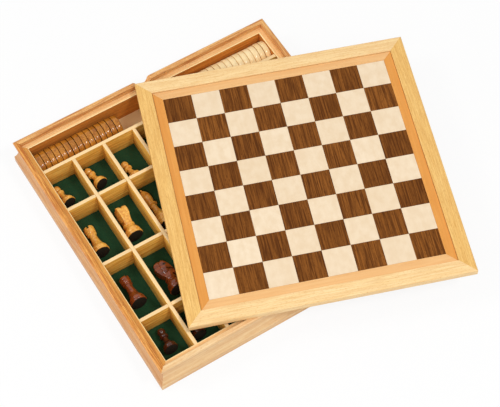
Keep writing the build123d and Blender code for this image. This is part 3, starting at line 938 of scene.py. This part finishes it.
# %% Squares
BOARD_SQUARES = 8
TILE_GAP, TILE_EASE = 0.05, 0.07
tile_size = 2 * (lid_half - FRAME_WIDTH - BAND_WIDTH) / BOARD_SQUARES
tile_chance = np.random.default_rng(64)


def tiles(dark):
    """The tiles of one colour, with their own X up the board, and what each one stores."""
    made = bmesh.new()
    stored = made.verts.layers.float_color.new("tile_shift")
    half = tile_size / 2 - TILE_GAP
    for up in range(BOARD_SQUARES):
        for across in range(BOARD_SQUARES):
            shift = [float(value) for value in tile_chance.random(4)]
            if (up + across) % 2 != dark:
                continue
            x = (up - (BOARD_SQUARES - 1) / 2) * tile_size
            y = -(across - (BOARD_SQUARES - 1) / 2) * tile_size
            tile = soften(plate([
                (-half, core_top), (half, core_top), (half, veneer_top), (-half, veneer_top),
            ], 2 * half), TILE_EASE, 1)
            bmesh.ops.translate(tile, verts=tile.verts, vec=Vector((x, y, 0)) * MM)
            part = bpy.data.meshes.new("tile")
            tile.to_mesh(part)
            tile.free()
            first = len(made.verts)
            made.from_mesh(part)
            bpy.data.meshes.remove(part)
            made.verts.ensure_lookup_table()
            for vertex in made.verts[first:]:
                vertex[stored] = shift
    return made


for dark, name, veneer in ((1, "dark", walnut_veneer), (0, "light", maple_veneer)):
    finish_piece(
        f"{name}_tiles", tiles(dark), veneer, "lid",
        [f"{name}_squares"], lid_place @ about_z(90))
print("squares of", round(tile_size, 2), "mm")

# %% [markdown]
# ## Draughtsmen
#
# A draughtsman is a turned disc with a rounded rim and a ring cut into each face, so that
# stacked ones sit steady. The corners of the rim are painted dark as the shade in the gaps
# between stones that stand side by side, darker on some stones than on others. Thirty of
# them stand on edge in the bay. They share two meshes, and each is rolled and set a touch
# differently, which breaks up the row as hands would.

# %% Draughtsman's outline
STONE_HALF, STONE_GAP = 3.15, 0.1
STONES, CLEAR_STONES = 15, 8
GAP_SHADE_OUT, GAP_SHADE_UP = 12.35, 2.75    # the painted shade of the gaps lies beyond both
half_face = [
    (0, 2.55), (7.6, 2.55), (7.9, 2.35), (8.6, 2.35), (8.9, 2.75), (9.2, 3.05), (9.6, STONE_HALF),
    (12.4, STONE_HALF), (12.7, 3.08), (12.9, 2.92), (13.0, 2.75), (13.0, 0)]
stone_outline = [(r, -z) for r, z in half_face] + [(r, z) for r, z in half_face[-2::-1]]
stone_meshes = {}
# Each stone's second finish paints the shade in the gaps at its rim's corners.
for name, wood, gap_shade in (("brown", brown_stone_wood, brown_stone_gap_shade),
                         ("white", white_stone_wood, white_stone_gap_shade)):
    mesh = mesh_of(f"{name}_draughtsman", turning(stone_outline, 72), 32)
    refinish(mesh, wood, gap_shade)
    for face in mesh.polygons:
        out, up = face.center.xy.length / MM, abs(face.center.z) / MM
        face.material_index = int(out > GAP_SHADE_OUT and up > GAP_SHADE_UP)
    stone_meshes[name] = mesh
print("faces per draughtsman:", len(mesh.polygons))

# %% Rows of draughtsmen
bay = middle_of("brown_draughtsmen")
stone_chance = np.random.default_rng(30)
pitch = 2 * STONE_HALF + STONE_GAP
MOST_SWING, MOST_LEAN = 0.6, 0.3
for name, side in (("brown", -1), ("white", 1)):
    for number in range(STONES):
        body, node = f"{name}_draughtsmen_row", "brown_draughtsmen"
        if name == "white":
            is_clear = number < CLEAR_STONES
            body = body if is_clear else "tray"
            node = f"white_draughtsmen_{'clear' if is_clear else 'under_lid'}"
        from_wall = STONE_GAP + pitch * number + STONE_HALF
        x = side * (inner_half - from_wall) * MM
        roll, lean, swing = stone_chance.random(3) - 0.5
        place = Matrix.Translation((x, bay.y + MOST_SWING * swing * MM, bay.z)) @ about_z(MOST_LEAN * lean)
        place = place @ Matrix.Rotation(2 * pi * roll, 4, "X") @ Matrix.Rotation(pi / 2, 4, "Y")
        finish_piece(
            f"{name}_stone_{number + 1}", stone_meshes[name], None, body,
            [node], place)
print("draughtsmen:", 2 * STONES)

# %% [markdown]
# ## Chessmen
#
# Chessmen are turned on a lathe, so each is an outline in shares of its base's radius and its
# height. Flowing curves make the bodies, and the places where two curves meet stay sharp, as
# a turner's beads do. All of them stand on the same foot. The castle's gaps, the mitre's slit
# and the king's cross are cut or added afterwards.

# %% Sizes of the men
MEN = {
    "pawn": (7.4, 26.5), "rook": (8.7, 32.5), "knight": (9.0, 37.5),
    "bishop": (9.5, 52.0), "queen": (10.5, 54.0), "king": (11.0, 62.0)}
FOOT = [(0, 0), *flowing([(0.94, 0), (0.99, 0.013), (1.0, 0.035), (0.985, 0.060), (0.945, 0.074)]),
        *flowing([(0.915, 0.080), (0.94, 0.105), (0.93, 0.145), (0.875, 0.19), (0.78, 0.23)])]


def ball(across, up, middle, first, last=90, step=10):
    """An arc of a round head, in shares, between two angles above its middle."""
    angles = range(first, last + 1, step)
    return [(across * cos(radians(a)), middle + up * sin(radians(a))) for a in angles]


def bead(across, low, high, inner):
    """A turned ring that stands out between two heights."""
    middle = (low + high) / 2
    spread_up = (high - low) / 2
    return [(inner, low)] + [
        (inner + (across - inner) * cos(radians(a)) ** 0.6, middle + spread_up * sin(radians(a)))
        for a in range(-75, 76, 15)] + [(inner, high)]


OUTLINES = {
    "pawn": flowing([(0.72, 0.25), (0.54, 0.315), (0.42, 0.39), (0.37, 0.47), (0.36, 0.54)])
    + bead(0.60, 0.55, 0.685, 0.36) + ball(0.55, 0.155, 0.845, -50),
    "rook": flowing([
        (0.74, 0.255), (0.64, 0.31), (0.555, 0.38), (0.49, 0.47), (0.45, 0.57), (0.45, 0.65),
        (0.49, 0.70)])
    + bead(0.59, 0.705, 0.755, 0.48)
    + flowing([(0.50, 0.76), (0.57, 0.785), (0.61, 0.82), (0.62, 0.86)])
    + [(0.605, 0.87), (0.63, 0.88), (0.63, 0.985), (0.61, 1.0), (0.45, 1.0), (0.43, 0.99),
       (0.43, 0.91), (0, 0.91)],
    "knight": flowing([(0.74, 0.245), (0.65, 0.275), (0.61, 0.31)])
    + bead(0.70, 0.315, 0.40, 0.60) + [(0, 0.40)],
    "bishop": flowing([(0.74, 0.245), (0.54, 0.30), (0.42, 0.37), (0.37, 0.45), (0.35, 0.53)])
    + bead(0.60, 0.535, 0.57, 0.35) + bead(0.46, 0.575, 0.60, 0.36)
    + flowing([(0.38, 0.605), (0.50, 0.67), (0.56, 0.75), (0.49, 0.85), (0.29, 0.92), (0.12, 0.95)])
    + ball(0.15, 0.026, 0.974, -50),
    "queen": flowing([(0.74, 0.245), (0.52, 0.30), (0.40, 0.38), (0.34, 0.50), (0.305, 0.63)])
    + bead(0.59, 0.65, 0.695, 0.30) + bead(0.45, 0.698, 0.720, 0.34)
    + flowing([(0.36, 0.722), (0.40, 0.77), (0.50, 0.84), (0.61, 0.885)])
    + [(0.60, 0.893), (0.50, 0.895)]
    + flowing([(0.46, 0.900), (0.32, 0.925), (0.14, 0.938)]) + ball(0.18, 0.032, 0.968, -50),
    "king": flowing([(0.74, 0.245), (0.52, 0.30), (0.41, 0.38), (0.35, 0.50), (0.31, 0.615)])
    + bead(0.58, 0.635, 0.68, 0.31) + bead(0.45, 0.683, 0.703, 0.34)
    + flowing([(0.38, 0.705), (0.42, 0.74), (0.52, 0.80), (0.60, 0.838)])
    + [(0.59, 0.846), (0.50, 0.850)] + flowing([(0.46, 0.852), (0.25, 0.868), (0, 0.872)]),
}
print("points above the foot:", {kind: len(outline) for kind, outline in OUTLINES.items()})

# %% Turned bodies and loose parts
def turned_man(kind):
    radius, height = MEN[kind]
    return turning([(across * radius, up * height) for across, up in FOOT + OUTLINES[kind]])


def block(size, place, tilt=0):
    """A plain block in mm, as a cutting tool or a small part, tilted about Y."""
    x, z = size[0] / 2, size[2] / 2
    made = plate([(-x, -z), (x, -z), (x, z), (-x, z)], size[1])
    turn = Matrix.Translation(Vector(place) * MM) @ Matrix.Rotation(radians(tilt), 4, "Y")
    bmesh.ops.transform(made, matrix=turn, verts=made.verts)
    return made


def kings_cross():
    radius, height = MEN["king"]
    half, arm, flare = 0.11 * radius, 0.29 * radius, 0.3
    low, bar = 0.865 * height, height - 3 * half
    outline = [
        (-half, low), (half, low), (half, bar - half), (arm, bar - half - flare),
        (arm, bar + half + flare), (half, bar + half), (half + flare, height),
        (-half - flare, height), (-half, bar + half), (-arm, bar + half + flare),
        (-arm, bar - half - flare), (-half, bar - half)]
    return soften(plate(outline, 2 * half), 0.25)


# %% [markdown]
# ### The knight's head
#
# The horse's head is the one carved shape here. A carver saws the outline from a flat blank,
# rounds it over and then cuts the details. The code does the same: the outline is given a
# thickness, a voxel remesh turns it into fine even faces, and the vertices are then moved to
# narrow the muzzle and the neck, part the ears, and cut the eyes, the mouth, the nostrils and
# the mane. How deep each vertex lies in an eye or in the mouth is stored, and darkens it.

# %% Blank of the head
HEAD_OUTLINE = [
    (-0.42, 0.37), (-0.46, 0.42), (-0.58, 0.49), (-0.80, 0.57), (-0.97, 0.68), (-1.02, 0.80),
    (-0.95, 0.90), (-0.72, 0.965), (-0.45, 0.993), (-0.20, 0.985), (-0.05, 0.957),
    (0.08, 0.985), (0.20, 1.0), (0.31, 0.958), (0.45, 0.925), (0.60, 0.873), (0.72, 0.79),
    (0.81, 0.70), (0.88, 0.61), (0.90, 0.545), (0.86, 0.485), (0.77, 0.452), (0.66, 0.45),
    (0.56, 0.468), (0.48, 0.472), (0.46, 0.44), (0.50, 0.40), (0.54, 0.37)]
HEAD_THICKNESS = 11.0
VOXEL = 0.38


def rounded_blank():
    """The sawn blank with its edges rounded over, in metres about the man's own axis."""
    radius, height = MEN["knight"]
    outline = [(x * radius, z * height) for x, z in flowing(HEAD_OUTLINE, 4)]
    blank = mesh_of("horse_blank", soften(plate(outline[::2], HEAD_THICKNESS), 0.02, 1))
    helper = bpy.data.objects.new("horse_blank", blank)
    show(helper)
    remesh = helper.modifiers.new("voxels", "REMESH")
    remesh.mode = "VOXEL"
    remesh.voxel_size = VOXEL * MM
    smooth = helper.modifiers.new("rounded", "SMOOTH")
    smooth.factor = 0.5
    smooth.iterations = 9
    rounded = final_mesh(helper)
    bpy.data.objects.remove(helper)
    return rounded


# %% Carving of the head
EYE, NOSTRIL, CHEEK, JAW = (0.24, 0.818), (0.78, 0.655), (0.05, 0.64), (0.02, 0.66)
JAW_RADIUS, LOCK_WIDTH = 4.6, 3.1
TOP_SQUASH, SQUASHED_FROM = 0.12, 0.6


def step_between(values, low, high):
    """0 below low, 1 above high, and a smooth rise between them."""
    share = np.clip((values - low) / (high - low), 0, 1)
    return share * share * (3 - 2 * share)


def dent(distance, reach):
    return np.exp(-(distance / reach) ** 2)


def carved_head():
    """The horse's head, and how dark each of its vertices is made."""
    radius, height = MEN["knight"]
    head = rounded_blank()
    count = len(head.vertices)
    place, facing = np.zeros(count * 3), np.zeros(count * 3)
    head.vertices.foreach_get("co", place)
    head.vertex_normals.foreach_get("vector", facing)
    place, facing = place.reshape(-1, 3) / MM, facing.reshape(-1, 3)
    across, up = place[:, 0] / radius, place[:, 2] / height
    side = np.sign(place[:, 1])
    muzzle = step_between(across, 0.15, 1.0)
    crest = step_between(up, 0.90, 1.0)
    neck = step_between(-up, -0.74, -0.50)
    place[:, 1] *= 1 - 0.30 * muzzle - 0.06 * crest - 0.20 * neck

    def away_from(x, z):
        return np.hypot((across - x) * radius, (up - z) * height)

    ear_gap = dent(place[:, 1], 1.2) * step_between(up, 0.78, 0.92) * dent(across + 0.40, 1.0)
    place[:, 2] -= 2.4 * ear_gap
    cuts = 0.80 * dent(away_from(*EYE), 0.8) - 0.40 * dent(away_from(*EYE), 1.7)
    cuts += 0.55 * dent(away_from(*NOSTRIL), 0.55)
    mouth_line = np.abs((up - 0.583 - 0.102 * (0.888 - across)) * height)
    cuts += 0.90 * dent(mouth_line, 0.55) * step_between(across, 0.15, 0.30)
    cuts -= 0.40 * dent(away_from(*CHEEK), 2.6)
    jaw = np.abs(away_from(*JAW) - JAW_RADIUS)
    cuts += 0.35 * dent(jaw, 0.5) * step_between(across, -0.10, 0.05) * step_between(-up, -0.66, -0.60)
    flanks = step_between(np.abs(facing[:, 1]), 0.2, 0.7)
    place[:, 1] -= side * cuts * flanks

    border_line = across + 0.34 - 0.3 * (up - 0.6)
    mane = step_between(-border_line, 0.02, 0.12) * step_between(up, 0.40, 0.46)
    locks = 0.5 + 0.5 * np.cos(2 * pi * (place[:, 2] + 0.9 * place[:, 0]) / LOCK_WIDTH)
    place -= facing * (0.25 * mane * locks ** 3)[:, None]
    border = dent(border_line * radius, 0.4)
    place[:, 1] -= side * 0.45 * border * flanks * step_between(up, 0.44, 0.50)
    place[:, 2] -= TOP_SQUASH * np.maximum(place[:, 2] - SQUASHED_FROM * height, 0)

    darkened = 1.6 * dent(away_from(*EYE), 1.3)
    darkened += 1.3 * dent(mouth_line, 0.60) * step_between(across, 0.15, 0.25)
    head.vertices.foreach_set("co", (place * MM).ravel())
    head.update()
    return head, np.clip(darkened * flanks, 0, 1)


horse_head, horse_cuts = carved_head()
print("horse's head:", len(horse_head.polygons), "faces")

# %% Meshes of the men and their pads
MAN_CREASE = 38
PAD_INSET, PAD_THICKNESS, RAGGED = 0.7, 0.8, 0.012


def man_mesh(kind):
    """One man's mesh, upright, with its base's underside at z = 0."""
    radius, height = MEN[kind]
    made = turned_man(kind)
    if kind == "knight":
        made.from_mesh(horse_head)
    if kind == "king":
        made.from_mesh(mesh_of("cross", kings_cross()))
    mesh = mesh_of(f"turned_{kind}", made)
    if kind == "knight":
        depth = np.zeros(len(mesh.vertices))
        depth[-len(horse_cuts):] = horse_cuts
        mesh.attributes.new("cut", "FLOAT", "POINT").data.foreach_set("value", depth)
    tools = []
    if kind == "rook":
        for angle in (0, 90):
            gap = block((3 * radius, 0.24 * radius, 0.2 * height), (0, 0, 1.02 * height))
            bmesh.ops.transform(gap, matrix=about_z(angle), verts=gap.verts)
            tools.append(gap)
    if kind == "bishop":
        slit = (0.75 * radius, 2 * radius, 0.085 * radius)
        tools.append(block(slit, (0.55 * radius, 0, 0.83 * height), -50))
    if tools:
        helper = bpy.data.objects.new("man_on_bench", mesh)
        show(helper)
        for tool in tools:
            carve(helper, tool)
        mesh = helper.data
        bpy.data.objects.remove(helper)
    return creased(mesh, MAN_CREASE)


def pad_mesh(kind):
    """The felt disc under a base. Its edge is a little ragged where it was punched out."""
    radius = MEN[kind][0] - PAD_INSET
    made = turning([
        (0, -PAD_THICKNESS), (radius - 0.25, -PAD_THICKNESS), (radius, -0.6), (radius, -0.1),
        (radius - 0.1, 0), (0, 0)], 48)
    for vertex in made.verts:
        vertex.co.xy *= 1 + RAGGED * noise.noise(vertex.co * 900)
    mesh = mesh_of(f"pad_of_{kind}", made, 40)
    refinish(mesh, pad_felt)
    return mesh


man_meshes = {kind: man_mesh(kind) for kind in MEN}
pad_meshes = {kind: pad_mesh(kind) for kind in MEN}
print("faces per man:", {kind: len(mesh.polygons) for kind, mesh in man_meshes.items()})

# %% [markdown]
# ### Laying the men in their cells
#
# A man that lies down rests on the edge of its base and on its widest part, so it tilts by the
# angle between those two. Each cell's man has its own place across the cell, its own gap to
# the back wall and its own small turn, since nobody lays them straight. One knight lies on its
# muzzle, with its mane up.

# %% Cells
COLUMNS = 8
BACK_RANK = ["rook", "knight", "bishop", "queen", "king", "bishop", "knight", "rook"]
REST_GAP, FOOT_SHARE = 0.3, 0.07
RESTS_ON = {                           # the widest part above the base, in shares (across, up)
    "pawn": (0.55, 0.845), "rook": (0.63, 1.0), "knight": (0.62, 1.0),
    "bishop": (0.56, 0.75), "queen": (0.61, 0.88), "king": (0.60, 0.839)}
ROLLED = {(2, 1): 102.0}               # the knight that lies on its muzzle, in degrees
ROLLED_REST = (0.86, 0.80)
STRAIGHT = (0.0, 0.4, 0.0)
LIES = {                               # place across, share of the gap at its head, turn
    (1, 0): (-0.82, 0.31, 8.8), (1, 1): (-0.38, 0.18, 11.3), (1, 2): (-0.47, 0.81, 7.0),
    (2, 0): (-0.97, 0.47, -3.5), (2, 1): (-0.65, 0.42, -1.0), (2, 2): (-0.85, 0.27, 3.0),
    (3, 0): (-0.46, 0.36, -1.1), (3, 1): (0.28, 0.48, 1.4), (4, 0): (-0.16, 0.28, -3.5),
    (4, 1): (-0.62, 0.34, 0.0)}
OPEN_CELLS = {
    (1, 0): "light_pawn_1", (1, 1): "light_pawn_2", (1, 2): "light_pawn_3",
    (2, 0): "light_rook_1", (2, 1): "light_knight_1", (3, 0): "dark_rook_1", (4, 0): "dark_pawn_1"}
cell_walls = {
    4: (-inner_half, row_lines[0] - divider_half),
    3: (row_lines[0] + divider_half, row_lines[1] - divider_half),
    2: (row_lines[1] + divider_half, row_lines[2] - divider_half),
    1: (row_lines[2] + divider_half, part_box("bay_divider")[0].y / MM)}
column_pitch = column_lines[1] - column_lines[0]
column_width = column_pitch - 2 * divider_half


def lying(kind, row, column):
    """Where a man lies: its base's middle, its turn about Z and its tilt."""
    radius, height = MEN[kind]
    foot_height = FOOT_SHARE * height
    sideways, head_gap, turn = LIES.get((row, column), STRAIGHT)
    front, back = cell_walls[row]
    across, up = ROLLED_REST if (row, column) in ROLLED else RESTS_ON[kind]
    tilt = atan2(radius * (1 - across), up * height - foot_height)
    x = -inner_half + column_width / 2 + column * column_pitch + sideways * (column_width / 2 - radius)
    y = back - head_gap * (back - front - height) - height * cos(tilt)
    z = felt_high.z + REST_GAP + radius * cos(tilt) + foot_height * sin(tilt)
    place = Matrix.Translation(Vector((x, y, z)) * MM) @ about_z(turn)
    return place @ Matrix.Rotation(-pi / 2 - tilt, 4, "X")


def coloured(mesh, wood):
    copied = mesh.copy()
    refinish(copied, wood)
    return copied


men_in_wood = {
    (colour, kind): coloured(mesh, wood)
    for colour, wood in (("light", light_man_wood), ("dark", dark_man_wood))
    for kind, mesh in man_meshes.items()}
men_in_wood["dark", "pawn"] = coloured(man_meshes["pawn"], dark_pawn_wood)
print("cells", round(column_width, 1), "mm wide, men in wood:", len(men_in_wood))

# %% Lay them all
ROLL_STEP = 0.7                        # in radians: each man is turned further about its axis
worst = 0.0
for row in (1, 2, 3, 4):
    colour = "light" if row < 3 else "dark"
    for column in range(COLUMNS):
        kind = "pawn" if row in (1, 4) else BACK_RANK[column]
        own_node = OPEN_CELLS.get((row, column))
        group = f"{colour}_{'pawns' if kind == 'pawn' else 'pieces'}_under_lid"
        place = lying(kind, row, column)
        roll = ROLL_STEP * (row + 3 * column)
        if kind == "knight":
            roll = radians(ROLLED.get((row, column), 0.0))
        name = f"{colour}_{kind}_in_cell_{row}_{column}"
        body = own_node or "tray"
        man = finish_piece(
            name, men_in_wood[colour, kind], None, body,
            [own_node or group], place @ Matrix.Rotation(roll, 4, "Z"))
        finish_piece(
            f"{name}_pad", pad_meshes[kind], None, body,
            [f"{own_node}_pad" if own_node else group], place)
        if own_node:
            bpy.context.view_layer.update()
            points = [man.matrix_world @ vertex.co for vertex in man.data.vertices]
            for axis, values in enumerate(zip(*points)):
                low, high = (corner[axis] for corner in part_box(own_node))
                worst = max(worst, low - min(values), max(values) - high)
print("men:", COLUMNS * 4, "furthest outside its model:", round(worst / MM, 2), "mm")

# %% [markdown]
# ## Colour view and the model's size
#
# The standard view shows colours as they are written, and the size of the measured model is printed.

# %% View and sizes
bpy.context.scene.view_settings.view_transform = "Standard"
print("measured", [round(v / MM, 1) for v in cad_high - cad_low])
